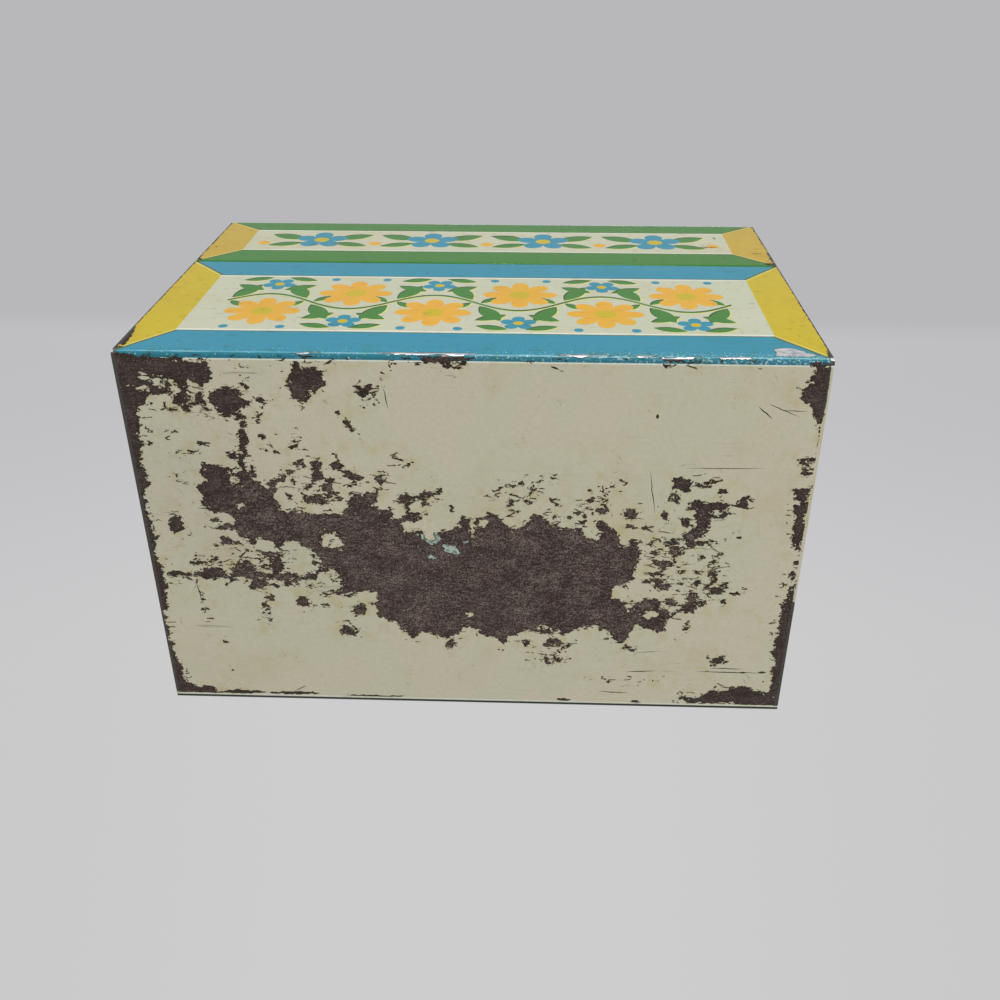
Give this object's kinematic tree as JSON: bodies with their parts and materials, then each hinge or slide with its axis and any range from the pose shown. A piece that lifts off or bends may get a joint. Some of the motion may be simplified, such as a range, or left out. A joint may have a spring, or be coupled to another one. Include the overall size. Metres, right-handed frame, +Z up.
{
  "type": "recipe card box",
  "caption": "Rectangular hinged tin box for recipe cards: folded body and lid with end panels, inner neck and a wire hinge along the back.",
  "frame": {"origin": "middle of the flat bottom that the box stands on", "axes": "+Z up, +X along the width to the right seen from the front, -Y towards the front, hinge on the +Y side"},
  "size_m": [0.1334, 0.0846, 0.0889],
  "materials": {
    "printed_body": "worn cream lacquer on tinplate, with blue and yellow printed borders on the front",
    "printed_lid": "cream lacquer on tinplate, with green and yellow printed borders on the front",
    "printed_end": "cream lacquer on tinplate, with printed borders in blue, green and yellow, worn along its edges",
    "bare_wire": "dull bare steel wire"
  },
  "bodies": {
    "box_body": {"body_wrap": "printed_body", "body_end_left": "printed_end", "body_end_right": "printed_end", "hinge_wire": "bare_wire"},
    "lid": {"lid_wrap": "printed_lid", "lid_end_left": "printed_end", "lid_end_right": "printed_end"}
  },
  "joints": [
    {"name": "lid_hinge", "type": "hinge", "parent": "box_body", "child": "lid", "pos_m": [0, 0.04213, 0.0556], "axis": [-1, 0, 0], "range_deg": [0, 180]}
  ]
}
